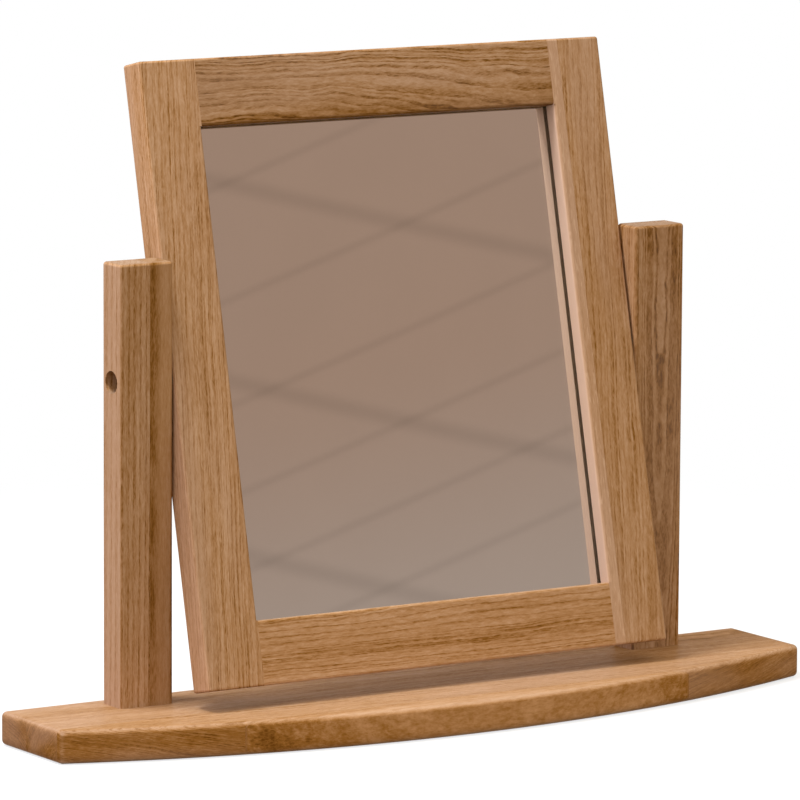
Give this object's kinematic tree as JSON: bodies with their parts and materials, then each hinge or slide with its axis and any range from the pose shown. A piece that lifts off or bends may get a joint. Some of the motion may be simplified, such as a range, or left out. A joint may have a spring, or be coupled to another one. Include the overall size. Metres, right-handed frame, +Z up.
{
  "type": "dressing table mirror",
  "caption": "Free-standing oak dressing table mirror: bow-fronted base, upright posts and a framed rectangular glass that tilts on a horizontal pivot between them.",
  "frame": {"origin": "on the underside of the base board, straight below the middle of the pivot axis", "axes": "+X to the right along the base, +Y to the back, +Z up; the glass faces -Y"},
  "size_m": [0.66, 0.1855, 0.4956],
  "materials": {
    "oak": "clear satin oil over open-grained honey oak",
    "mirror": "clear float glass silvered on the back",
    "backing_board": "smooth brown hardboard",
    "zinc_steel": "bright zinc plated",
    "brass": "plain turned brass",
    "nylon": "black moulded nylon"
  },
  "bodies": {
    "stand": {"base_board": "oak", "left_post": "oak", "right_post": "oak", "post_screws": "zinc_steel", "left_friction_washer": "nylon", "right_friction_washer": "nylon"},
    "mirror": {"left_stile": "oak", "right_stile": "oak", "top_rail": "oak", "bottom_rail": "oak", "mirror_glass": "mirror", "back_panel": "backing_board", "back_panel_screws": "zinc_steel", "left_pivot_bolt": "zinc_steel", "right_pivot_bolt": "zinc_steel", "left_head_washer": "zinc_steel", "right_head_washer": "zinc_steel", "left_spring_washer": "zinc_steel", "right_spring_washer": "zinc_steel", "left_threaded_insert": "brass", "right_threaded_insert": "brass"}
  },
  "joints": [
    {"name": "mirror_tilt", "type": "hinge", "parent": "stand", "child": "mirror", "pos_m": [0, 0, 0.266], "axis": [1, 0, 0], "continuous": true}
  ]
}
